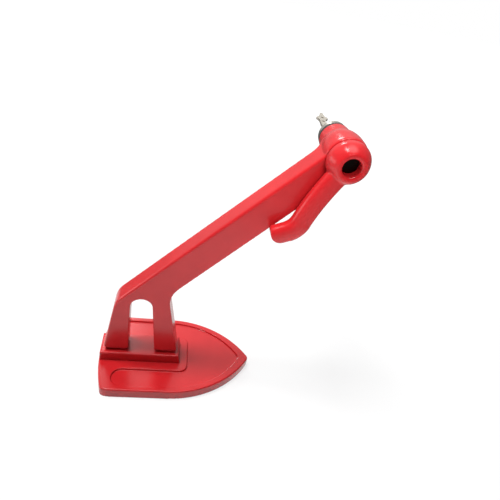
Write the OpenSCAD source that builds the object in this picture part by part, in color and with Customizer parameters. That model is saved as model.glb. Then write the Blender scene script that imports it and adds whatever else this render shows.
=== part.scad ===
// Wheel clamp: a pointed sole plate with a raised pedestal, a sloping arm on two legs, and a hook that
// swings on a spindle in the arm's head. A key-turned bolt in the head enters the spindle and locks the hook.
// Millimetres, +Z up, origin in the middle of the sole's underside, tip of the sole towards +X.

/* [Sole] */
// Length of the sole from heel crown to tip
sole_l = 151.4; // [140:0.1:180]
// Width of the sole
sole_w = 96; // [80:0.1:120]
// Thickness of the sole at its rim
sole_t = 10.6; // [9.8:0.1:16]
// Length of the straight sides, from the heel crown
sole_side_l = 70; // [50:0.1:80]
// How far the heel crown stands proud of the heel corners
heel_bow = 7.4; // [4:0.1:12]
// Length of the rounded heel corners along the sides
heel_corner_l = 8.5; // [4:0.1:16]
// Width of the rounded heel corners across the sole
heel_corner_w = 4.5; // [2:0.1:10]
// Radius of the tip
tip_r = 5; // [2:0.1:8]
// Depth of the recess in the top face
recess_d = 2; // [1:0.1:4]
// Width of the rim along the sides
rim_side_w = 5.6; // [4:0.1:9]
// Width of the rim at the tip
rim_tip_w = 10.5; // [6:0.1:16]
// Width of the rim at the heel
rim_heel_w = 15; // [10:0.1:18]
// Raised border beside the pedestal, along its sides
border_side_w = 9.5; // [5:0.1:12]
// Raised border beyond the pedestal's inner end
border_end_w = 7.7; // [4:0.1:14]
// Rounding of the border's corners
border_corner_l = 9; // [3:0.1:14]

/* [Pedestal] */
// Distance of the pedestal from the heel crown
ped_heel_gap = 1.4; // [0.5:0.1:4]
// Width of the pedestal at its base
ped_w = 26.1; // [23:0.1:34]
// Height of the pedestal
ped_h = 10.7; // [8:0.1:16]
// How far the inner end leans back over its height
ped_lean = 2.2; // [0:0.1:4]
// Pedestal beyond the legs at the heel end
ped_margin_heel = 3.4; // [2:0.1:8]
// Pedestal beyond the legs at the inner end
ped_margin_tip = 4.7; // [3:0.1:10]

/* [Legs] */
// Shadow gap between the pedestal and the legs
foot_h = 4.2; // [2:0.1:8]
// How far the feet are set in from the legs' sides
foot_inset = 2; // [1:0.1:3]
// Width of the outer leg at its lower end
leg_outer_w = 23; // [20:0.1:28]
// Width of the inner leg at its lower end
leg_inner_w = 22; // [20:0.1:28]
// Lean of the outer leg's outside edge, degrees
leg_outer_lean = 9.5; // [5:0.1:14]
// Lean of the inner leg's outside edge, degrees
leg_inner_lean = 10.2; // [6:0.1:13]
// Width of the notch between the legs at its foot
notch_foot_w = 25.3; // [22:0.1:30]
// Width of the notch at its arch
notch_arch_w = 20.2; // [14:0.1:22]
// Height of the notch to the crown of its arch
notch_h = 65.8; // [50:0.1:68]
// How far the notch's arch is set over towards the outer leg
notch_shift = 2; // [0:0.1:3]

/* [Arm] */
// Thickness of the arm and legs
arm_t = 19; // [16:0.1:24]
// Depth of the arm across its slope, at the head
arm_d = 24.7; // [20:0.1:28]
// Slope of the arm, degrees above level
arm_slope = 47.6; // [44:0.1:52]
// Taper of the arm's underside towards the head, degrees
arm_taper = 0.65; // [0:0.05:1.5]
// Height of the shoulder corner above the legs' lower ends
shoulder_h = 60.2; // [58:0.1:75]
// Rounding of the shoulder corner
shoulder_l = 7; // [3:0.1:12]
// Rounding of the inner elbow under the arm
elbow_l = 13.5; // [6:0.1:20]
// Length along the arm from the shoulder corner to the head axis
arm_l = 236; // [220:0.1:270]
// Head axis below the arm's centre line
head_drop = 1.2; // [0:0.05:3]
// Radius of the necks between arm and head
neck_r = 18; // [8:0.1:26]

/* [Head] */
// Largest radius of the head
head_r = 17.6; // [17.2:0.1:22]
// Radius of the head at its rear end
head_end_r = 13.3; // [12.7:0.1:15]
// Length of the head from the arm's front face
head_l = 41.1; // [40.5:0.1:50]
// Length of the collar at the head's rear end
collar_l = 8; // [5:0.1:12]
// Length of the hollow between the collar and the head's dome
hollow_l = 7; // [4:0.1:10]
// Height of the hollow's slope above the collar
hollow_h = 1.3; // [1:0.1:3]
// Rounding of the head's front edge
head_edge = 1.8; // [1:0.1:3]
// Fillet between the head and the arm's rear face
head_fillet = 6; // [2:0.1:9]

/* [Hook] */
// Radius of the hook's eye
eye_r = 17.2; // [15.8:0.1:21]
// Thickness of the eye
eye_t = 14.8; // [13:0.1:16]
// Rounding of the eye's rear edge
eye_edge = 1.6; // [0.8:0.1:3]
// Depth of the eye's domed front
eye_dome = 9.4; // [6:0.1:10]
// Width of the flat rim round the eye's recess
eye_rim_w = 2.4; // [0.6:0.1:3]
// Radius of the eye's recess
eye_recess_r = 7.3; // [7.2:0.1:9]
// Chamfer at the mouth of the eye's recess
eye_lip = 1.4; // [0.5:0.1:2]
// Depth of the eye's recess down to the spindle head
eye_recess_d = 8; // [4:0.1:9]
// Radius of the hub that carries the eye in the head
hub_r = 10.4; // [10.2:0.1:10.8]
// Width of the stem in the hook's plane
stem_w = 17.6; // [13:0.1:20]
// Thickness of the stem
stem_t = 12.6; // [10:0.1:12.8]
// Direction of the stem at the head axis, in the upright plane, degrees
stem_dir = 238; // [230:0.1:255]
// Offset of the stem's centre line from the head axis
stem_offset = 0.3; // [0:0.1:2]
// Length of the stem from the head axis to the bend
stem_l = 60; // [50:0.1:75]
// Radius of the stem's slow curve
stem_curve_r = 215; // [150:1:400]
// Radius of the hook's bend
bend_r = 16.5; // [13:0.1:22]
// Extra thickness of the bend on each side
bend_swell = 0.2; // [0.15:0.05:0.4]
// Turn of the hook's bend, degrees
bend_turn = 48; // [35:1:60]
// Length of the hook's tip beyond the bend
tip_l = 13.4; // [12:0.1:20]
// Radius of the tip's blunt end
tip_end_r = 10.4; // [9.4:0.1:12]
// Slant of the tip's end, degrees
tip_slant = 14; // [0:1:25]

/* [Spindle] */
// Thickness of the spindle head
spindle_head_t = 2.2; // [1.5:0.1:3]
// Radius of the spindle's keyed part in the eye
spindle_key_r = 6.8; // [6.6:0.1:7]
// Width over the flats of the keyed part
spindle_flat_w = 12.4; // [12.3:0.1:12.8]
// Radius of the spindle behind the hub
journal_r = 6; // [5.8:0.1:6.1]
// Room round the circlip in the head
circlip_room = 0.4; // [0.3:0.1:0.5]
// Length of the spindle behind its circlip
spindle_tail = 4.5; // [3:0.1:5.5]
// Depth of the twelve-point socket in the spindle
socket_d = 6.2; // [5.8:0.1:7]
// Wall of the spindle bush
bush_wall = 2.6; // [2.5:0.1:3]
// Length of the spindle bush
bush_l = 7; // [6:0.1:8]
// Thickness of the thrust washer
thrust_t = 0.8; // [0.6:0.1:1.5]
// Radius of the thrust washer
thrust_r = 14; // [13:0.1:14.4]
// Thickness of the friction washer
friction_t = 0.8; // [0.5:0.1:1.2]
// Radius of the friction washer
friction_r = 12; // [11.6:0.1:12.2]
// Thickness of the circlip
circlip_t = 1.2; // [0.8:0.1:1.5]
// Depth of the circlip's groove in the spindle
circlip_groove = 0.6; // [0.4:0.1:0.8]
// Radius of the circlip
circlip_r = 7.4; // [7:0.1:8]
// Gap between the circlip's ends
circlip_gap = 3; // [1:0.1:5]

/* [Lock] */
// Radius of the lock housing
housing_r = 9.5; // [9.3:0.1:9.9]
// Gap between the spindle's end and the housing
housing_gap = 2.5; // [1.5:0.1:3]
// Housing beyond the head's rear end
housing_out = 8; // [7:0.1:14]
// Thickness of the sealing ring under the bezel
seal_t = 2.6; // [1.5:0.1:4]
// Radius of the sealing ring
seal_r = 12.7; // [12:0.1:13]
// Radius of the bezel
bezel_r = 12.2; // [11.8:0.1:12.6]
// Thickness of the bezel's face
bezel_face_t = 1; // [0.6:0.1:2]
// Rounding of the bezel's outer edge
bezel_edge = 2; // [0.5:0.1:2.4]
// Radius of the bolt's sleeve
sleeve_r = 7.5; // [7.3:0.1:7.7]
// Width over the flats of the bolt's sleeve
sleeve_flat_w = 13; // [12.8:0.1:13.6]
// Width over the flats of the bolt's six-sided nose
nose_w = 7; // [6.4:0.1:7.2]
// Wall of the bolt's sleeve beyond the ends of its slots
slot_wall = 1.6; // [1.2:0.1:1.8]
// Travel of the bolt for a quarter turn of the key
bolt_travel = 5; // [4:0.1:5.2]
// Gap between the drawn-back bolt and the spindle
bolt_gap = 0.6; // [0.4:0.1:0.9]
// Radius of the plug
plug_r = 6; // [5.8:0.1:6.2]
// Radius of the plug's tail
tail_r = 4; // [3.8:0.1:4.2]
// Thickness of the web that holds the plug
web_t = 1.6; // [1.2:0.1:2.2]
// Thickness of the plug clip
clip_t = 1; // [0.7:0.1:1.2]
// Depth of the clip's groove in the tail
clip_groove = 0.8; // [0.5:0.1:1]
// Radius of the plug clip
clip_r = 5.8; // [5.2:0.1:6]
// Radius of the cam pin
cam_pin_r = 1.2; // [1:0.1:1.3]
// Depth of the plug's face behind the bezel's face
plug_sink = 0.4; // [0.2:0.1:0.8]
// Number of wafers in the plug
wafer_n = 4; // [3:1:4]
// Distance of the rearmost wafer from the plug's face
wafer_inset = 3; // [2.4:0.1:4]
// Spacing of the wafers
wafer_pitch = 2.6; // [2.2:0.1:2.8]
// Thickness of a wafer
wafer_t = 1; // [0.7:0.1:1.2]
// Width of a wafer's web beside the key
wafer_web = 1.3; // [1:0.1:1.4]
// Radius of the housing's grub screw
grub_r = 2; // [1.5:0.1:2.2]
// Depth of the grub screw in the housing
grub_d = 1.2; // [0.8:0.1:2]
// Distance of the grub screw from the head's rear end
grub_inset = 4.5; // [3.5:0.1:6]

/* [Key] */
// Width of the key's blade
blade_w = 7.8; // [7:0.1:8.2]
// Thickness of the key
key_t = 2; // [1.6:0.1:2.2]
// Length of the blade in the plug
blade_l = 12.5; // [11:0.1:13]
// Width of the key's neck at the bezel
key_root_w = 7.4; // [5:0.1:7.6]
// Width of the key's neck at the bow
key_neck_w = 5; // [4:0.1:7]
// Length of the key's neck from the bezel to the bow
neck_l = 20; // [12:0.1:26]
// Width of the key's bow
bow_w = 10.4; // [9:0.1:20]
// Length of the key's bow
bow_l = 29.4; // [24:0.1:40]
// Length of the bow's pointed end
bow_point_l = 13.5; // [10:0.1:20]
// Radius of the two holes in the bow
bow_hole_r = 1.4; // [1.2:0.1:2]
// Distance between the holes in the bow
bow_hole_gap = 9.4; // [6:0.1:12]
// Sideways set of the key's neck where the bow begins
neck_set = -2.8; // [-4:0.1:0]
// Sideways set of the bow's point
point_set = 1.2; // [0:0.1:2]
// Depth of the cuts in the blade
bitting_d = 0.9; // [0.4:0.1:1.3]
// Depth of the groove along the blade
key_groove_d = 0.5; // [0.2:0.1:0.6]
// Width of the groove along the blade
key_groove_w = 2; // [1:0.1:2.6]

/* [Fasteners] */
// Radius of the foot bolts' shanks
bolt_r = 5; // [4:0.1:5.2]
// Radius of the foot bolts' heads
bolt_head_r = 8; // [7:0.1:8.4]
// Height of the foot bolts' heads
bolt_head_h = 5.2; // [4:0.1:6]
// Width over the flats of the foot bolts' sockets
bolt_socket_w = 7; // [5:0.1:8]
// Depth of the foot bolts' sockets
bolt_socket_d = 3; // [2:0.1:3.4]
// Thread length of the foot bolts in the legs
bolt_grip = 22; // [16:0.1:30]
// Thickness of the foot washers
washer_t = 1.6; // [1:0.1:2]
// Sink of the foot bolts' heads below the sole
bolt_sink = 0.6; // [0.4:0.1:1]

/* [Fits] */
// Clearance on the radius of running fits
run_c = 0.05; // [0.03:0.01:0.08]
// Clearance on the radius of fixed fits
seat_c = 0.02; // [0.01:0.01:0.04]
// Clearance between washers, clips and the faces they run on
face_c = 0.1; // [0.05:0.01:0.2]
// Clearance of the cam pin in the bolt's slots
slot_c = 0.3; // [0.25:0.01:0.4]
// Clearance of the bolt's nose in the spindle's socket
nose_c = 0.2; // [0.1:0.01:0.3]
// Clearance of bolts in plain holes
hole_c = 0.4; // [0.2:0.1:0.8]

/* [Hidden] */
$fn = 64;
// Overshoot of cuts past the faces they open
cut = 0.5;
// Overlap of the stem and the tip with the bend, which is a little thicker
lap = 1.5;

red = "#c8141c";
black = "#18181a";
steel = "#a9abae";
chrome = "#d6d8da";
brass = "#b08a3c";

// Sole and pedestal
heel_x = -sole_l / 2;
tip_x = sole_l / 2;
side_x = heel_x + sole_side_l;
sole_half = sole_w / 2;
heel_r = (sole_half * sole_half + heel_bow * heel_bow) / (2 * heel_bow);
ped_x0 = heel_x + ped_heel_gap;
foot_x0 = ped_x0 + ped_margin_heel;
foot_x1 = foot_x0 + leg_outer_w;
foot_x2 = foot_x1 + notch_foot_w;
foot_x3 = foot_x2 + leg_inner_w;
ped_x1 = foot_x3 + ped_margin_tip;
ped_top = sole_t + ped_h;
leg_z = ped_top + foot_h;
border_half = ped_w / 2 + border_side_w;
border_x = ped_x1 + border_end_w;

// Arm and head axis
along = [cos(arm_slope), sin(arm_slope)];
across = [-sin(arm_slope), cos(arm_slope)];
low_slope = arm_slope + arm_taper;
low_along = [cos(low_slope), sin(low_slope)];
low_across = [-sin(low_slope), cos(low_slope)];
shoulder = [foot_x0 + tan(leg_outer_lean) * shoulder_h, leg_z + shoulder_h];
top_off = arm_d / 2 + head_drop;
low_off = arm_d / 2 - head_drop;
head = shoulder + along * arm_l - across * top_off;
neck_base_r = head_r - head_edge;
neck_top = sqrt(pow(neck_base_r + neck_r, 2) - pow(top_off + neck_r, 2));
neck_low = sqrt(pow(neck_base_r + neck_r, 2) - pow(low_off + neck_r, 2));
low_pt = head - low_across * low_off;
lean_in = tan(leg_inner_lean);
elbow_s = (foot_x3 - lean_in * (low_pt[1] - leg_z) - low_pt[0]) / (low_along[0] + lean_in * low_along[1]);
elbow = low_pt + low_along * elbow_s;
arch_r = notch_arch_w / 2;
arch_c = [(foot_x1 + foot_x2) / 2 - notch_shift, leg_z + notch_h - arch_r];

// Stations along the head axis, front to rear
front_y = -arm_t / 2;
eye_y1 = front_y - thrust_t;
eye_y0 = eye_y1 - eye_t;
spindle_y0 = eye_y0 + eye_recess_d;
eye_web_y = spindle_y0 + spindle_head_t;
bush_y1 = front_y + bush_l;
hub_y1 = bush_y1 + face_c;
circlip_y0 = hub_y1 + friction_t;
circlip_y1 = circlip_y0 + circlip_t;
cavity_y1 = circlip_y1 + circlip_room;
spindle_y1 = circlip_y1 + spindle_tail;
nose_y = spindle_y1 + bolt_gap;
housing_y0 = spindle_y1 + housing_gap;
pin_slot_r = cam_pin_r + slot_c;
sleeve_y0 = housing_y0 + bolt_travel + cut;
pin_y = sleeve_y0 + slot_wall + pin_slot_r;
sleeve_y1 = pin_y + bolt_travel + pin_slot_r + slot_wall;
clip_y0 = sleeve_y1 + 2 * face_c;
web_y0 = clip_y0 + clip_t + face_c;
web_y1 = web_y0 + web_t;
rear_y = front_y + head_l;
housing_y1 = rear_y + housing_out;
seal_y1 = rear_y + seal_t;
bezel_y1 = housing_y1 + bezel_face_t;
plug_y1 = bezel_y1 - plug_sink;
grub_y = rear_y - grub_inset;

// Radii round the head axis
bush_r = hub_r + run_c + bush_wall;
cavity_r = friction_r + circlip_room;
stem_y = eye_y1 - stem_t / 2;
wafer_y0 = plug_y1 - wafer_inset - (wafer_n - 1) * wafer_pitch;
bolt_x = [(foot_x0 + foot_x1) / 2, (foot_x2 + foot_x3) / 2];
bolt_top = leg_z + bolt_grip - foot_h;
cbore_d = bolt_sink + bolt_head_h + washer_t;
cbore_r = bolt_head_r + hole_c;

// Points on an arc, and on a soft bend between two straight edges
function polar(r, a) = r * [cos(a), sin(a)];
function arc(c, r, a0, a1, n) = [for (i = [0:n]) c + polar(r, a0 + (a1 - a0) * i / n)];
function mix(a, b, t) = a + (b - a) * t;
function bend(a, b, c, n) = [for (i = [0:n]) mix(mix(a, b, i / n), mix(b, c, i / n), i / n)];
function towards(a, b, l) = a + (b - a) / norm(b - a) * l;
function soft(a, b, c, l, n) = bend(towards(b, a, l), b, towards(b, c, l), n);

// Pointed end with two long arcs and a small round tip, from the upper side round to the lower side
function point_r(reach, half, r) = (pow(reach - r, 2) / (half - r) + r + half) / 2;
function pointed(x0, x1, half, r) =
    let (big = point_r(x1 - x0, half, r), a = atan2(big - half, x1 - r - x0))
    concat(arc([x0, half - big], big, 90, a, 18),
        arc([x1 - r, 0], r, a, -a, 8),
        arc([x0, big - half], big, -a, -90, 18));

// Rounded bar section: the exponent sets how square it looks
section_power = 2.5;
function bulge(v) = sign(v) * pow(abs(v), 2 / section_power);
function section(w, t) = [for (i = [0:23]) [w / 2 * bulge(cos(i * 15)), t / 2 * bulge(sin(i * 15))]];

heel_y = sole_half - heel_corner_w;
heel_a = asin(heel_y / heel_r);
heel_end = heel_x + heel_r - heel_r * cos(heel_a);
heel_pts = arc([heel_x + heel_r, 0], heel_r, 180 + heel_a, 180 - heel_a, 12);
heel_corner_x = heel_x + heel_bow;
heel_side_x = heel_corner_x + heel_corner_l;
sole_pts = concat(pointed(side_x, tip_x, sole_half, tip_r),
    bend([heel_side_x, -sole_half], [heel_corner_x, -sole_half], [heel_end, -heel_y], 5), heel_pts,
    bend([heel_end, heel_y], [heel_corner_x, sole_half], [heel_side_x, sole_half], 5));

recess_half = sole_half - rim_side_w;
lane_r = (recess_half - border_half) / 2;
lane_x = heel_x + rim_heel_w + lane_r;
lane_y = border_half + lane_r;
recess_pts = concat(pointed(side_x, tip_x - rim_tip_w, recess_half, tip_r),
    arc([lane_x, -lane_y], lane_r, 270, 90, 12),
    soft([lane_x, -border_half], [border_x, -border_half], [border_x, border_half], border_corner_l, 6),
    soft([border_x, -border_half], [border_x, border_half], [lane_x, border_half], border_corner_l, 6),
    arc([lane_x, lane_y], lane_r, 270, 90, 12));

neck_top_c = head + across * (top_off + neck_r) - along * neck_top;
neck_low_c = head - low_across * (low_off + neck_r) - low_along * neck_low;
neck_top_a = arm_slope - atan2(top_off + neck_r, neck_top);
neck_low_a = low_slope + atan2(low_off + neck_r, neck_low);
arm_pts = concat([[foot_x0, leg_z]],
    soft([foot_x0, leg_z], shoulder, shoulder + along * arm_l, shoulder_l, 6),
    arc(neck_top_c, neck_r, arm_slope - 90, neck_top_a, 6),
    [head],
    arc(neck_low_c, neck_r, neck_low_a, low_slope + 90, 6),
    soft(low_pt, elbow, [foot_x3, leg_z], elbow_l, 8),
    [[foot_x3, leg_z], [foot_x2, leg_z]],
    arc(arch_c, arch_r, 0, 180, 12),
    [[foot_x1, leg_z]]);

// Outline of the head: rounded front edge, domed middle, then a hollow and a collar at the rear end
collar_y = rear_y - collar_l;
hollow_y = collar_y - hollow_l;
head_pts = concat([[0, front_y]],
    bend([head_r - head_edge, front_y], [head_r, front_y], [head_r, front_y + 2 * head_edge], 3),
    bend([head_r, 0], [head_r, hollow_y * 0.6], [head_end_r + hollow_h, hollow_y], 8),
    bend([head_end_r + hollow_h, hollow_y], [head_end_r, hollow_y + hollow_h], [head_end_r, collar_y], 5),
    [[head_end_r, rear_y - head_edge / 2], [head_end_r - head_edge / 2, rear_y], [0, rear_y]]);
fillet_y = arm_t / 2;
fillet_end = fillet_y + head_fillet;
fillet_pts = concat([[head_end_r, 0], [head_r + head_fillet, 0]],
    bend([head_r + head_fillet, fillet_y], [head_r, fillet_y], [head_r - head_edge, fillet_end], 5),
    [[head_end_r, fillet_end]]);

// Outline of the eye: rounded rear edge, short side, domed front and flat rim
rim_r = eye_recess_r + eye_lip + eye_rim_w;
eye_pts = concat([[0, eye_y1]],
    bend([eye_r - eye_edge, eye_y1], [eye_r, eye_y1], [eye_r, eye_y1 - eye_edge], 3),
    bend([eye_r, eye_y0 + eye_dome], [eye_r - 1.2 * eye_edge, eye_y0 + eye_dome / 3], [rim_r, eye_y0], 7),
    [[0, eye_y0]]);
eye_recess_pts = [[0, eye_y0 - cut], [eye_recess_r + eye_lip, eye_y0 - cut], [eye_recess_r + eye_lip, eye_y0],
    [eye_recess_r, eye_y0 + eye_lip], [eye_recess_r, eye_web_y], [0, eye_web_y]];

// Local z runs along the head axis towards the rear, local x along the arm's plane
module on_axis(y) {
    translate([head[0], y, head[1]]) rotate([-90, 0, 0]) children();
}

module rod(y0, y1, r) {
    on_axis(y0) cylinder(h = y1 - y0, r = r);
}

module ring(y0, y1, r1, r0) {
    difference() {
        rod(y0, y1, r1);
        rod(y0 - cut, y1 + cut, r0);
    }
}

module flatted(y0, y1, r, w) {
    intersection() {
        rod(y0, y1, r);
        on_axis((y0 + y1) / 2) cube([w, 3 * r, y1 - y0 + cut], center = true);
    }
}

module six(y0, y1, w, turn) {
    on_axis(y0) rotate([0, 0, turn]) cylinder(h = y1 - y0, r = w / 2 / cos(30), $fn = 6);
}

module upright(w) {
    rotate([90, 0, 0]) linear_extrude(w, center = true) children();
}

module at_bolts() {
    for (x = bolt_x) translate([x, 0, 0]) children();
}

module sole_plate() {
    color(red) difference() {
        linear_extrude(sole_t) polygon(sole_pts);
        translate([0, 0, sole_t - recess_d]) linear_extrude(recess_d + cut) polygon(recess_pts);
        at_bolts() translate([0, 0, -cut]) cylinder(h = sole_t + 2 * cut, r = bolt_r + hole_c);
        at_bolts() translate([0, 0, -cut]) cylinder(h = cbore_d + cut, r = cbore_r);
    }
}

module arm_pedestal() {
    top_x = ped_x1 - ped_lean;
    color(red) difference() {
        upright(ped_w) polygon([[ped_x0, sole_t], [ped_x1, sole_t], [top_x, ped_top], [ped_x0, ped_top]]);
        at_bolts() translate([0, 0, sole_t - cut]) cylinder(h = ped_h + 2 * cut, r = bolt_r + hole_c);
    }
}

module foot(x0, x1) {
    translate([x0 + foot_inset, foot_inset - arm_t / 2, ped_top])
        cube([x1 - x0 - 2 * foot_inset, arm_t - 2 * foot_inset, foot_h + foot_inset]);
}

module arm() {
    color(red) difference() {
        union() {
            upright(arm_t) polygon(arm_pts);
            on_axis(0) rotate_extrude() polygon(head_pts);
            intersection() {
                upright(arm_t + 2 * head_fillet + cut) polygon(arm_pts);
                on_axis(0) rotate_extrude() polygon(fillet_pts);
            }
            foot(foot_x0, foot_x1);
            foot(foot_x2, foot_x3);
        }
        rod(front_y - cut, bush_y1, bush_r + seat_c);
        rod(front_y - cut, cavity_y1, cavity_r);
        rod(cavity_y1 - cut, rear_y + cut, housing_r + seat_c);
        on_axis(grub_y) rotate([-90, 0, 0]) cylinder(h = 2 * head_r, r = grub_r + seat_c);
        at_bolts() translate([0, 0, ped_top - cut])
            cylinder(h = bolt_top - ped_top + 2 * cut, r = bolt_r + seat_c);
    }
}

module foot_bolts() {
    color(steel) at_bolts() difference() {
        union() {
            translate([0, 0, bolt_sink]) cylinder(h = bolt_head_h, r = bolt_head_r);
            translate([0, 0, bolt_sink]) cylinder(h = bolt_top - bolt_sink, r = bolt_r);
        }
        translate([0, 0, bolt_sink - cut])
            cylinder(h = bolt_socket_d + cut, r = bolt_socket_w / 2 / cos(30), $fn = 6);
    }
}

module foot_washers() {
    color(steel) at_bolts() translate([0, 0, cbore_d - washer_t]) difference() {
        cylinder(h = washer_t, r = bolt_head_r);
        translate([0, 0, -cut]) cylinder(h = washer_t + 2 * cut, r = bolt_r + hole_c / 2);
    }
}

module spindle_bush() {
    color(brass) ring(front_y, bush_y1, bush_r, hub_r + run_c);
}

module lock_housing() {
    color(steel) difference() {
        rod(housing_y0, housing_y1, housing_r);
        flatted(housing_y0 - cut, web_y0, sleeve_r + run_c, sleeve_flat_w + 2 * run_c);
        rod(web_y0 - cut, web_y1 + cut, tail_r + run_c);
        rod(web_y1, housing_y1 + cut, plug_r + run_c);
        on_axis(grub_y) rotate([-90, 0, 0]) translate([0, 0, housing_r - grub_d])
            cylinder(h = housing_r, r = grub_r + seat_c);
    }
}

module housing_grub_screw() {
    grub_l = head_end_r - housing_r + grub_d;
    color(black) on_axis(grub_y) rotate([-90, 0, 0]) translate([0, 0, housing_r - grub_d]) difference() {
        cylinder(h = grub_l, r = grub_r);
        translate([0, 0, grub_l / 2]) cylinder(h = grub_l, r = grub_r / 2, $fn = 6);
    }
}

module bezel_seal() {
    color(black) ring(rear_y, seal_y1, seal_r, housing_r + seat_c);
}

module lock_bezel() {
    pts = concat([[0, seal_y1], [bezel_r - bezel_edge / 4, seal_y1], [bezel_r, seal_y1 + bezel_edge / 4]],
        bend([bezel_r, bezel_y1 - bezel_edge], [bezel_r, bezel_y1], [bezel_r - bezel_edge, bezel_y1], 5),
        [[0, bezel_y1]]);
    color(chrome) difference() {
        on_axis(0) rotate_extrude() polygon(pts);
        rod(seal_y1 - cut, housing_y1, housing_r + seat_c);
        rod(housing_y1 - cut, bezel_y1 + cut, plug_r + run_c + face_c);
    }
}

module stem_arc(r, turn, swell) {
    rotate_extrude(angle = turn) translate([r, 0])
        polygon(section(stem_w + 2 * swell, stem_t + 2 * swell));
}

// Stem frame: x along the stem at the head axis, -z towards the inside of the bend
module hook_stem() {
    deg = 180 / PI;
    slow_turn = stem_l / stem_curve_r * deg;
    start_turn = rim_r / stem_curve_r * deg;
    lap_turn = lap / stem_curve_r * deg;
    translate([head[0], stem_y, head[1]]) rotate([0, -stem_dir, 0])
        translate([0, 0, stem_offset + stem_curve_r]) {
            rotate([90, 0, 0]) rotate([0, 0, start_turn - 90])
                stem_arc(stem_curve_r, slow_turn - start_turn + lap_turn, 0);
            rotate([0, -slow_turn, 0]) translate([0, 0, -stem_curve_r - bend_r]) {
                rotate([90, 0, 0]) rotate([0, 0, 90 - bend_turn]) stem_arc(bend_r, bend_turn, bend_swell);
                rotate([0, bend_turn, 0]) translate([0, 0, bend_r]) hook_tip();
            }
        }
}

// Tip frame: x along the tip from the end of the bend
module hook_tip() {
    intersection() {
        translate([-lap, 0, 0]) rotate([0, 90, 0]) linear_extrude(tip_l + stem_w)
            polygon(section(stem_w, stem_t));
        translate([tip_l, 0, 0]) rotate([0, -tip_slant, 0]) translate([-tip_end_r, 0, 0]) {
            rotate([90, 0, 0]) cylinder(h = 2 * stem_t, r = tip_end_r, center = true);
            translate([-tip_l, 0, 0]) cube([2 * tip_l, 2 * stem_t, 2 * tip_end_r], center = true);
        }
    }
}

module hook() {
    color(red) difference() {
        union() {
            on_axis(0) rotate_extrude() polygon(eye_pts);
            rod(eye_y1 - cut, hub_y1, hub_r);
            hook_stem();
        }
        on_axis(0) rotate_extrude() polygon(eye_recess_pts);
        flatted(eye_web_y - cut, hub_y1 + cut, spindle_key_r + seat_c, spindle_flat_w + 2 * seat_c);
    }
}

module hook_spindle() {
    color(black) difference() {
        union() {
            rod(spindle_y0, eye_web_y, eye_recess_r - seat_c);
            flatted(eye_web_y, hub_y1, spindle_key_r, spindle_flat_w);
            rod(eye_web_y, spindle_y1, journal_r);
        }
        ring(circlip_y0, circlip_y1, journal_r + cut, journal_r - circlip_groove);
        for (turn = [0, 30]) six(spindle_y1 - socket_d, spindle_y1 + cut, nose_w + 2 * nose_c, turn);
    }
}

module thrust_washer() {
    color(brass) ring(eye_y1, front_y, thrust_r, hub_r + seat_c);
}

module friction_washer() {
    color(brass) ring(hub_y1, circlip_y0, friction_r, journal_r + run_c);
}

module spindle_circlip() {
    color(steel) difference() {
        ring(circlip_y0, circlip_y1, circlip_r, journal_r - circlip_groove + seat_c);
        on_axis((circlip_y0 + circlip_y1) / 2) translate([0, circlip_r, 0])
            cube([circlip_gap, 2 * circlip_r, circlip_t + 2 * cut], center = true);
    }
}

module keyway(y0, y1, c) {
    on_axis(y0) translate([-blade_w / 2 - c, -key_t / 2 - c, 0])
        cube([blade_w + 2 * c, key_t + 2 * c, y1 - y0]);
}

module at_wafers() {
    for (i = [0:wafer_n - 1]) on_axis(wafer_y0 + i * wafer_pitch) children();
}

wafer_w = key_t + 2 * face_c + 2 * wafer_web;
wafer_l = 2 * sqrt(plug_r * plug_r - wafer_w * wafer_w / 4) - 2 * face_c;

module lock_plug() {
    color(brass) difference() {
        union() {
            rod(web_y1 + face_c, plug_y1, plug_r);
            rod(pin_y - pin_slot_r, plug_y1, tail_r);
        }
        ring(clip_y0, clip_y0 + clip_t, tail_r + cut, tail_r - clip_groove);
        on_axis(pin_y) rotate([0, 90, 0]) cylinder(h = 4 * tail_r, r = cam_pin_r + seat_c, center = true);
        keyway(bezel_y1 - blade_l - face_c, plug_y1 + cut, face_c);
        at_wafers() cube([2 * plug_r + cut, wafer_w + 2 * run_c, wafer_t + 2 * run_c], center = true);
    }
}

module wafer_tumblers() {
    color(brass) at_wafers() difference() {
        cube([wafer_l, wafer_w, wafer_t], center = true);
        cube([blade_w + 2 * face_c, key_t + 2 * face_c, 2 * wafer_t], center = true);
    }
}

module plug_clip() {
    color(steel) difference() {
        ring(clip_y0, clip_y0 + clip_t, clip_r, tail_r - clip_groove + seat_c);
        on_axis(clip_y0) translate([0, clip_r, 0]) cube([tail_r, 2 * clip_r, 3 * clip_t], center = true);
    }
}

module cam_pin() {
    color(steel) on_axis(pin_y) rotate([0, 90, 0])
        cylinder(h = sleeve_flat_w - 4 * face_c, r = cam_pin_r, center = true);
}

// The slots follow the pin: a quarter turn while the sleeve travels forward
module lock_bolt() {
    slot_steps = 12;
    color(steel) difference() {
        union() {
            flatted(sleeve_y0, sleeve_y1, sleeve_r, sleeve_flat_w);
            six(nose_y, sleeve_y0 + cut, nose_w, 0);
        }
        rod(pin_y - pin_slot_r - face_c, sleeve_y1 + cut, tail_r + run_c);
        for (i = [0:slot_steps]) on_axis(pin_y + bolt_travel * i / slot_steps)
            rotate([0, 0, 90 * i / slot_steps]) rotate([0, 90, 0])
                cylinder(h = 4 * sleeve_r, r = pin_slot_r, center = true, $fn = 24);
    }
}

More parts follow.
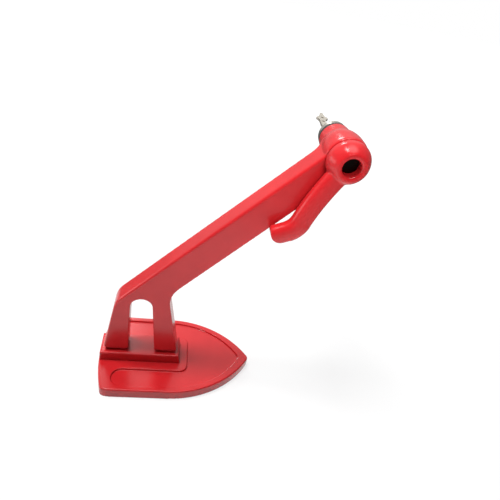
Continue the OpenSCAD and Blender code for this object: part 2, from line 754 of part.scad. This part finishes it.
// Key outline: local x across the blade, local y along the head axis. The bow is set over to one side
bow_y0 = bezel_y1 + neck_l;
bow_y1 = bow_y0 + bow_l;
ear_y = bow_y1 - bow_point_l;
function ease(t) = t * t * (3 - 2 * t);
function key_set(y) =
    y < bezel_y1 ? 0
    : y < bow_y0 ? neck_set * ease((y - bezel_y1) / neck_l)
    : neck_set + (point_set - neck_set) * (y - bow_y0) / bow_l;
function set_over(p) = [p[0] + key_set(p[1]), p[1]];

module key_outline() {
    half = blade_w / 2;
    root = key_root_w / 2;
    neck = key_neck_w / 2;
    ear = bow_w / 2;
    tip_y = bezel_y1 - blade_l;
    left = concat([[-half / 3, tip_y], [-half, tip_y + half / 2], [-half, bezel_y1], [-root, bezel_y1]],
        bend([-root, bezel_y1 + root / 2], [-neck, bezel_y1 + root], [-neck, bow_y0], 8),
        bend([-neck, bow_y0 + neck], [-neck, ear_y - neck], [-ear, ear_y - neck / 2], 5),
        [[-ear, ear_y + neck / 2]],
        bend([-ear + neck / 2, ear_y + neck], [-neck, ear_y + neck], [-neck / 2, bow_y1 - neck / 2], 4),
        [[0, bow_y1]]);
    right = [for (i = [len(left) - 2:-1:0]) [-left[i][0], left[i][1]]];
    difference() {
        polygon([for (p = concat(left, right)) set_over(p)]);
        for (y = [ear_y, ear_y - bow_hole_gap]) translate([key_set(y), y]) circle(r = bow_hole_r);
        for (i = [0:wafer_n - 1]) for (side = [-1, 1])
            translate([side * half, wafer_y0 + i * wafer_pitch]) rotate([0, 0, 45])
                square(bitting_d * (1 + (i + side + 1) % 2) * 0.7, center = true);
    }
}

module key() {
    groove_l = blade_l + neck_l / 4;
    color(chrome) translate([head[0], 0, head[1]]) difference() {
        linear_extrude(key_t, center = true) key_outline();
        for (side = [-1, 1]) translate([0, bezel_y1 - blade_l + groove_l / 2, side * key_t / 2])
            cube([key_groove_w, groove_l + cut, 2 * key_groove_d], center = true);
    }
}

sole_plate();
arm_pedestal();
arm();
foot_bolts();
foot_washers();
spindle_bush();
lock_housing();
housing_grub_screw();
bezel_seal();
lock_bezel();
hook();
hook_spindle();
thrust_washer();
friction_washer();
spindle_circlip();
lock_plug();
wafer_tumblers();
plug_clip();
cam_pin();
lock_bolt();
key();
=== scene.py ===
import math

import bmesh
import bpy
from mathutils import Matrix, Vector


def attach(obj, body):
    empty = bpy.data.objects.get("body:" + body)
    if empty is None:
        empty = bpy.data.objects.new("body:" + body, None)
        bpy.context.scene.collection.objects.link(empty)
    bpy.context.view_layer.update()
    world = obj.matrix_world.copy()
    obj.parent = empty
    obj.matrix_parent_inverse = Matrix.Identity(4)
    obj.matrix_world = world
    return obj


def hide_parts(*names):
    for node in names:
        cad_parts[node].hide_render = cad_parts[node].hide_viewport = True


mm = 0.001
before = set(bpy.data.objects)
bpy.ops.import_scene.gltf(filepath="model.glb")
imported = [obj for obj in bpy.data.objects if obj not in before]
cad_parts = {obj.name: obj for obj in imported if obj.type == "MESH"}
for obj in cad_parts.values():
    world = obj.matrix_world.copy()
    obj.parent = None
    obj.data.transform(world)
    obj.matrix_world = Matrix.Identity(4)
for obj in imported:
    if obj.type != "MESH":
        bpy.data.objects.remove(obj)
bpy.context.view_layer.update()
print("frame loaded")


def hexColour(text):
    channels = [int(text[i:i + 2], 16) / 255 for i in (1, 3, 5)]
    return (*[c / 12.92 if c <= 0.04045 else ((c + 0.055) / 1.055) ** 2.4 for c in channels], 1)


# A setting goes to the input of that name or number, or else to the node's own property.
def addNode(tree, kind, settings={}, links={}):
    node = tree.nodes.new(kind)
    for name, value in settings.items():
        if isinstance(name, int) or name in node.inputs:
            node.inputs[name].default_value = value
        else:
            setattr(node, name, value)
    for name, source in links.items():
        tree.links.new(source, node.inputs[name])
    return node


def newMaterial(name):
    material = bpy.data.materials.new(name)
    material.use_nodes = True
    material.node_tree.nodes.clear()
    tree = material.node_tree
    place = addNode(tree, "ShaderNodeTexCoord").outputs["Object"]
    return material, tree, place


def closeMaterial(tree, surface):
    addNode(tree, "ShaderNodeOutputMaterial", links={"Surface": surface})


# Pattern scales are given by the size in millimetres of one grain of the pattern.
def perMm(size):
    return 1 / (size * mm)


# Gloss enamel sprayed on castings: a deep red with a wet sheen, faint orange peel and a little dust.
paintLook = {
    "colour": "#c22428", "deep": "#ab1a1f", "mottleMm": 24, "mottleDetail": 3.0,
    "peelMm": 1.4, "peelDetail": 1.0, "peelDepthMm": 0.006, "peelStrength": 0.6,
    "dustMm": 2.2, "dustDetail": 4.0, "smoothest": 0.16, "roughest": 0.26, "ior": 1.5,
}


def sprayedPaint(look):
    material, tree, place = newMaterial("red gloss enamel, sprayed on castings")
    mottle = addNode(tree, "ShaderNodeTexNoise",
                     {"Scale": perMm(look["mottleMm"]), "Detail": look["mottleDetail"]}, {"Vector": place})
    # Inputs 6 and 7 are the mix's two colours, and output 2 is its colour.
    tone = addNode(tree, "ShaderNodeMix",
                   {"data_type": "RGBA", 6: hexColour(look["deep"]), 7: hexColour(look["colour"])},
                   {"Factor": mottle.outputs["Fac"]})
    peel = addNode(tree, "ShaderNodeTexNoise",
                   {"Scale": perMm(look["peelMm"]), "Detail": look["peelDetail"]}, {"Vector": place})
    bump = addNode(tree, "ShaderNodeBump",
                   {"Strength": look["peelStrength"], "Distance": look["peelDepthMm"] * mm},
                   {"Height": peel.outputs["Fac"]})
    dust = addNode(tree, "ShaderNodeTexNoise",
                   {"Scale": perMm(look["dustMm"]), "Detail": look["dustDetail"]}, {"Vector": place})
    rough = addNode(tree, "ShaderNodeMapRange", {"To Min": look["smoothest"], "To Max": look["roughest"]},
                    {"Value": dust.outputs["Fac"]})
    shader = addNode(tree, "ShaderNodeBsdfPrincipled", {"IOR": look["ior"]}, {
        "Base Color": tone.outputs[2], "Roughness": rough.outputs["Result"], "Normal": bump.outputs["Normal"],
    })
    closeMaterial(tree, shader.outputs["BSDF"])
    return material


# Bare and plated metals: gloss that varies in a fine grain. The real grain is too fine to show, so it is
# drawn coarser, at 0.3 to 0.6 mm.
metalLooks = {
    # A cap with soft, slightly warm reflections.
    "chrome": {"name": "chrome plate, polished", "colour": "#cdc7bd", "roughness": 0.3,
               "grainMm": 0.5, "spread": 0.05},
    # A pale, worn key without sharp reflections.
    "nickel": {"name": "nickel plate on a stamped key", "colour": "#e2dbce", "roughness": 0.42,
               "grainMm": 0.3, "spread": 0.12},
    # Dull grey fasteners and lock parts.
    "zinc": {"name": "zinc plate, dull", "colour": "#b4b6b8", "roughness": 0.35,
             "grainMm": 0.6, "spread": 0.15},
    # A warm yellow round the keyhole and in the bearing.
    "brass": {"name": "brass, turned", "colour": "#c09a4e", "roughness": 0.3,
              "grainMm": 0.4, "spread": 0.12},
    # A near-black pivot in the eye.
    "black_steel": {"name": "steel, oil blackened", "colour": "#2c2624", "roughness": 0.38,
                    "grainMm": 0.5, "spread": 0.2},
}
metalDetail = 3.0


def platedMetal(look):
    material, tree, place = newMaterial(look["name"])
    grain = addNode(tree, "ShaderNodeTexNoise", {"Scale": perMm(look["grainMm"]), "Detail": metalDetail},
                    {"Vector": place})
    rough = addNode(tree, "ShaderNodeMapRange", {
        "To Min": look["roughness"] - look["spread"] / 2, "To Max": look["roughness"] + look["spread"] / 2,
    }, {"Value": grain.outputs["Fac"]})
    shader = addNode(tree, "ShaderNodeBsdfPrincipled",
                     {"Base Color": hexColour(look["colour"]), "Metallic": 1.0},
                     {"Roughness": rough.outputs["Result"]})
    closeMaterial(tree, shader.outputs["BSDF"])
    return material


# Moulded rubber: black and matt, with a fine grain that takes off the shine.
rubberLook = {
    "colour": "#272727", "roughness": 0.6, "grainMm": 0.4, "grainDetail": 2.0, "depthMm": 0.03, "strength": 0.5,
}


def mouldedRubber(look):
    material, tree, place = newMaterial("rubber, moulded")
    grain = addNode(tree, "ShaderNodeTexNoise",
                    {"Scale": perMm(look["grainMm"]), "Detail": look["grainDetail"]}, {"Vector": place})
    bump = addNode(tree, "ShaderNodeBump", {"Strength": look["strength"], "Distance": look["depthMm"] * mm},
                   {"Height": grain.outputs["Fac"]})
    shader = addNode(tree, "ShaderNodeBsdfPrincipled",
                     {"Base Color": hexColour(look["colour"]), "Roughness": look["roughness"]},
                     {"Normal": bump.outputs["Normal"]})
    closeMaterial(tree, shader.outputs["BSDF"])
    return material


paint = sprayedPaint(paintLook)
looks = {kind: platedMetal(look) for kind, look in metalLooks.items()}
looks["rubber"] = mouldedRubber(rubberLook)
print("materials made")


def visualCopy(name, material, body):
    copy = bpy.data.objects.new(name + "_shown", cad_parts[name].data.copy())
    bpy.context.scene.collection.objects.link(copy)
    copy.data.materials.clear()
    copy.data.materials.append(material)
    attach(copy, body)
    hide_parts(name)
    return copy


# Rounds chosen convex edges of a casting, on the copy's own mesh.
rounding = {"steps": 5, "profile": 0.5, "weldMm": 0.001}


def roundEdges(copy, size, chosen):
    shape = bmesh.new()
    shape.from_mesh(copy.data)
    bmesh.ops.remove_doubles(shape, verts=shape.verts, dist=rounding["weldMm"] * mm)
    picked = []
    for edge in shape.edges:
        if len(edge.link_faces) == 2 and edge.is_convex:
            one, two = edge.link_faces
            if chosen(one, two) or chosen(two, one):
                picked.append(edge)
    bmesh.ops.bevel(shape, geom=picked, offset=size, segments=rounding["steps"], profile=rounding["profile"],
                    affect="EDGES", clamp_overlap=False)
    shape.to_mesh(copy.data)
    shape.free()


# Outer walls are higher than this, and those of the sole's shallow recess are lower.
wallHeight = 5 * mm
facingUp = 0.9
standing = 0.5


def topEdge(upper, wall):
    return upper.normal.z > facingUp and abs(wall.normal.z) < standing


def heightOf(wall):
    heights = [v.co.z for v in wall.verts]
    return max(heights) - min(heights)


def topOfWall(upper, wall):
    return topEdge(upper, wall) and heightOf(wall) > wallHeight


def topOfRecess(upper, wall):
    return topEdge(upper, wall) and heightOf(wall) < wallHeight


# The long edge between the arm's sloping top and its front.
armTop = Vector((-0.738, 0, 0.674))
facingFront = -0.99
facingArmTop = 0.9


def topOfArm(side, upper):
    return side.normal.y < facingFront and upper.normal.dot(armTop) > facingArmTop


# Castings: the CAD shape with the soft edges that casting and thick paint give. Rounds are in millimetres.
castings = {
    "sole_plate": {"voxelMm": 0.35, "smooth": 4, "body": "frame", "rounds": ((1.6, topOfWall), (0.7, topOfRecess))},
    "arm_pedestal": {"voxelMm": 0.3, "smooth": 4, "body": "frame", "rounds": ((1.4, topOfWall),)},
    "arm": {"voxelMm": 0.5, "smooth": 16, "body": "frame", "rounds": ((2.2, topOfArm),)},
    "hook": {"voxelMm": 0.4, "smooth": 36, "body": "hook", "rounds": ()},
}
smoothFactor = 0.5
for name, casting in castings.items():
    soft = visualCopy(name, paint, casting["body"])
    for size, chosen in casting["rounds"]:
        roundEdges(soft, size * mm, chosen)
    remesh = soft.modifiers.new("skin", "REMESH")
    remesh.mode = "VOXEL"
    remesh.voxel_size = casting["voxelMm"] * mm
    remesh.use_smooth_shade = True
    smooth = soft.modifiers.new("soft edges", "SMOOTH")
    smooth.factor = smoothFactor
    smooth.iterations = casting["smooth"]
print("castings softened")

# Turned, stamped and moulded pieces: the CAD shape with round faces shaded smooth and a fine broken edge.
finishes = {
    "foot_bolts": {"look": "zinc", "body": "frame", "breakMm": 0.3},
    "foot_washers": {"look": "zinc", "body": "frame", "breakMm": 0.15},
    "spindle_bush": {"look": "brass", "body": "frame", "breakMm": 0.2},
    "lock_housing": {"look": "zinc", "body": "frame", "breakMm": 0.15},
    "housing_grub_screw": {"look": "black_steel", "body": "frame", "breakMm": 0.15},
    "bezel_seal": {"look": "rubber", "body": "frame", "breakMm": 0.3},
    "lock_bezel": {"look": "chrome", "body": "frame", "breakMm": 0.2},
    "hook_spindle": {"look": "black_steel", "body": "hook", "breakMm": 0.3},
    "thrust_washer": {"look": "brass", "body": "hook", "breakMm": 0.1},
    "friction_washer": {"look": "brass", "body": "hook", "breakMm": 0.1},
    "spindle_circlip": {"look": "black_steel", "body": "hook", "breakMm": 0.1},
    "lock_plug": {"look": "brass", "body": "plug", "breakMm": 0.1},
    "wafer_tumblers": {"look": "brass", "body": "plug", "breakMm": 0.05},
    "plug_clip": {"look": "black_steel", "body": "plug", "breakMm": 0.1},
    "cam_pin": {"look": "zinc", "body": "plug", "breakMm": 0.15},
    "lock_bolt": {"look": "zinc", "body": "bolt", "breakMm": 0.1},
    "key": {"look": "nickel", "body": "key", "breakMm": 0.25},
}
sharpAngle = math.radians(35)
breakSteps = 2
for name, finish in finishes.items():
    piece = visualCopy(name, looks[finish["look"]], finish["body"])
    for face in piece.data.polygons:
        face.use_smooth = True
    piece.data.set_sharp_from_angle(angle=sharpAngle)
    edge = piece.modifiers.new("broken edge", "BEVEL")
    edge.width = finish["breakMm"] * mm
    edge.segments = breakSteps
    edge.angle_limit = sharpAngle
    edge.harden_normals = True
print("metals finished")


# Rays that show the background: straight from the camera, and by way of gloss or glass.
def seenOrMirrored(tree):
    rays = addNode(tree, "ShaderNodeLightPath")
    mirrored = addNode(tree, "ShaderNodeMath", {"operation": "MAXIMUM"}, {
        0: rays.outputs["Is Glossy Ray"], 1: rays.outputs["Is Transmission Ray"],
    }).outputs["Value"]
    return rays.outputs["Is Camera Ray"], mirrored


# Floor: white paper. The camera sees plain white with a share of the lit paper, which keeps a faint shadow,
# and a little more far away, where the lit paper gets dark. Gloss sees a bright middle and a dim rest.
floorLook = {
    "size": 6.0, "dropMm": 0.05, "colour": "#eaeaea", "middle": (-0.02, -0.05, 0), "near": 0.24, "far": 0.39,
    "bright": 1.0, "dim": 0.2, "shown": 0.75, "edge": 1.4,
}
plainWhite = hexColour("#ffffff")
bpy.ops.mesh.primitive_plane_add(size=floorLook["size"], location=(0, 0, -floorLook["dropMm"] * mm))
floor = bpy.context.object
floor.name = "floor"
floorPaper, tree, place = newMaterial("paper, white sweep")
diffuse = addNode(tree, "ShaderNodeBsdfDiffuse", {"Color": hexColour(floorLook["colour"])})
straight, mirrored = seenOrMirrored(tree)
away = addNode(tree, "ShaderNodeVectorMath", {"operation": "DISTANCE", 1: floorLook["middle"]}, {0: place})
sheen = addNode(tree, "ShaderNodeMapRange", {
    "From Min": floorLook["near"], "From Max": floorLook["far"],
    "To Min": floorLook["bright"], "To Max": floorLook["dim"],
}, {"Value": away.outputs["Value"]})
fade = addNode(tree, "ShaderNodeMapRange", {
    "From Min": floorLook["far"], "From Max": floorLook["size"] / 4, "To Min": 1.0, "To Max": floorLook["edge"],
}, {"Value": away.outputs["Value"]})
plain = addNode(tree, "ShaderNodeMath", {"operation": "MULTIPLY"}, {0: straight, 1: fade.outputs["Result"]})
strength = addNode(tree, "ShaderNodeMath", {"operation": "MULTIPLY_ADD"},
                   {0: mirrored, 1: sheen.outputs["Result"], 2: plain.outputs["Value"]})
glow = addNode(tree, "ShaderNodeEmission", {"Color": plainWhite}, {"Strength": strength.outputs["Value"]})
shown = addNode(tree, "ShaderNodeMath", {"operation": "MULTIPLY_ADD", 1: floorLook["shown"]},
                {0: straight, 2: mirrored})
paper = addNode(tree, "ShaderNodeMixShader", links={
    0: shown.outputs["Value"], 1: diffuse.outputs["BSDF"], 2: glow.outputs["Emission"],
})
closeMaterial(tree, paper.outputs["Shader"])
floor.data.materials.append(floorPaper)

# Room: white to the camera. It lights the object mostly from the back. Gloss sees it brighter to the back and
# upwards, darker to the right, with a panel overhead. The pairs are the parts of the ray's direction, or for
# the panel how near it is to panelWay, between which a level changes.
room = {
    "front": 0.0, "back": 0.5, "frontToBack": (-0.15, 0.6), "glossFrontToBack": (-0.6, 0.6),
    "low": 0.62, "high": 1.05, "lowToHigh": (0.38, 0.58),
    "left": 1.0, "right": 0.4, "leftToRight": (0.3, 0.7),
    "panel": 3.4, "panelWay": (0.05, -0.1, 0.994), "panelEdge": (0.9, 0.985),
}
world = bpy.data.worlds.new("white room")
bpy.context.scene.world = world
world.use_nodes = True
tree = world.node_tree
tree.nodes.clear()
straight, mirrored = seenOrMirrored(tree)
way = addNode(tree, "ShaderNodeTexCoord").outputs["Generated"]
parts = addNode(tree, "ShaderNodeSeparateXYZ", links={"Vector": way})
depth = addNode(tree, "ShaderNodeMapRange", {
    "From Min": room["glossFrontToBack"][0], "From Max": room["glossFrontToBack"][1],
}, {"Value": parts.outputs["Y"]})
height = addNode(tree, "ShaderNodeMapRange", {
    "From Min": room["lowToHigh"][0], "From Max": room["lowToHigh"][1],
    "To Min": room["low"], "To Max": room["high"],
}, {"Value": parts.outputs["Z"]})
side = addNode(tree, "ShaderNodeMapRange", {
    "From Min": room["leftToRight"][0], "From Max": room["leftToRight"][1],
    "To Min": room["left"], "To Max": room["right"],
}, {"Value": parts.outputs["X"]})
tall = addNode(tree, "ShaderNodeMath", {"operation": "MULTIPLY"},
               {0: depth.outputs["Result"], 1: height.outputs["Result"]})
gloss = addNode(tree, "ShaderNodeMath", {"operation": "MULTIPLY"},
                {0: tall.outputs["Value"], 1: side.outputs["Result"]})
overhead = addNode(tree, "ShaderNodeVectorMath", {"operation": "DOT_PRODUCT", 1: room["panelWay"]}, {0: way})
panel = addNode(tree, "ShaderNodeMapRange", {
    "From Min": room["panelEdge"][0], "From Max": room["panelEdge"][1], "To Min": 0.0, "To Max": room["panel"],
}, {"Value": overhead.outputs["Value"]})
bright = addNode(tree, "ShaderNodeMath", {"operation": "ADD"},
                 {0: gloss.outputs["Value"], 1: panel.outputs["Result"]})
strength = addNode(tree, "ShaderNodeMath", {"operation": "MULTIPLY_ADD"},
                   {0: mirrored, 1: bright.outputs["Value"], 2: straight})
background = addNode(tree, "ShaderNodeBackground", {"Color": plainWhite}, {"Strength": strength.outputs["Value"]})
backLight = addNode(tree, "ShaderNodeMapRange", {
    "From Min": room["frontToBack"][0], "From Max": room["frontToBack"][1],
    "To Min": room["front"], "To Max": room["back"],
}, {"Value": parts.outputs["Y"]})
walls = addNode(tree, "ShaderNodeBackground", {"Color": plainWhite}, {"Strength": backLight.outputs["Result"]})
shown = addNode(tree, "ShaderNodeMath", {"operation": "MAXIMUM"}, {0: straight, 1: mirrored})
sky = addNode(tree, "ShaderNodeMixShader", links={
    0: shown.outputs["Value"], 1: walls.outputs["Background"], 2: background.outputs["Background"],
})
addNode(tree, "ShaderNodeOutputWorld", links={"Surface": sky.outputs["Shader"]})

# Lamps: the soft box overhead gives most of the light. The spark makes the streak on the eye, the window the
# glow on the head, and the left card the pale band at the eye's left. The floor bounce and the head lamp fill
# the front. Lamps that aren't mirrored give light without a highlight.
lamps = {
    "soft box": {"place": (-0.65, 0.12, 2.21), "aim": (0.05, 0, 0.1), "wide": 0.6, "high": 0.72,
                 "watts": 53, "spread": 180, "mirrored": False},
    "spark": {"place": (-0.65, -0.22, 2.21), "aim": (0.108, 0, 0.25), "wide": 0.6, "high": 0.24,
              "watts": 12, "spread": 180, "mirrored": True},
    "window": {"place": (-0.948, 3.9, 3.23), "aim": (0.108, 0, 0.25), "wide": 1.0, "high": 1.0,
               "watts": 56, "spread": 180, "mirrored": True},
    "left card": {"place": (-0.9, 0.1, 0.12), "aim": (0.108, 0, 0.25), "wide": 0.8, "high": 0.3,
                  "watts": 1.4, "spread": 180, "mirrored": True},
    "floor bounce": {"place": (0.0, -0.35, 0.004), "aim": (0.0, -0.349, 1), "wide": 0.9, "high": 0.4,
                     "watts": 1.4, "spread": 180, "mirrored": False},
    "head lamp": {"place": (0.1, -0.3, 0.5), "aim": (0.09, 0, 0.21), "wide": 0.15, "high": 0.15,
                  "watts": 0.085, "spread": 40, "mirrored": False},
}
for name, lamp in lamps.items():
    light = bpy.data.lights.new(name, "AREA")
    light.shape = "RECTANGLE"
    light.size = lamp["wide"]
    light.size_y = lamp["high"]
    light.energy = lamp["watts"]
    light.spread = math.radians(lamp["spread"])
    fixture = bpy.data.objects.new(name, light)
    bpy.context.scene.collection.objects.link(fixture)
    fixture.visible_glossy = lamp["mirrored"]
    fixture.visible_camera = False
    fixture.location = lamp["place"]
    fixture.rotation_mode = "QUATERNION"
    fixture.rotation_quaternion = (Vector(lamp["aim"]) - Vector(lamp["place"])).to_track_quat("-Z", "Y")
print("stage lit")

# Camera at the photo's own angle, tilted to one side as the photo is. Angles are in radians.
shot = {
    "place": (-0.0180126, -0.3172352, 0.3806981), "yaw": 0.2185, "pitch": 0.6143, "roll": 0.2242,
    "lens": 32.531, "sensor": 36, "nearest": 0.01,
}
camera = bpy.data.objects.new("camera", bpy.data.cameras.new("camera"))
bpy.context.scene.collection.objects.link(camera)
bpy.context.scene.camera = camera
camera.data.lens = shot["lens"]
camera.data.sensor_width = shot["sensor"]
camera.data.clip_start = shot["nearest"]
flat = math.cos(shot["pitch"])
forward = Vector((math.sin(shot["yaw"]) * flat, math.cos(shot["yaw"]) * flat, -math.sin(shot["pitch"])))
level = Vector((math.cos(shot["yaw"]), -math.sin(shot["yaw"]), 0))
upright = level.cross(forward)
right = math.cos(shot["roll"]) * level + math.sin(shot["roll"]) * upright
up = math.cos(shot["roll"]) * upright - math.sin(shot["roll"]) * level
camera.matrix_world = Matrix((right, up, -forward)).transposed().to_4x4()
camera.location = shot["place"]

bpy.context.scene.view_settings.view_transform = "Standard"
print("camera set")
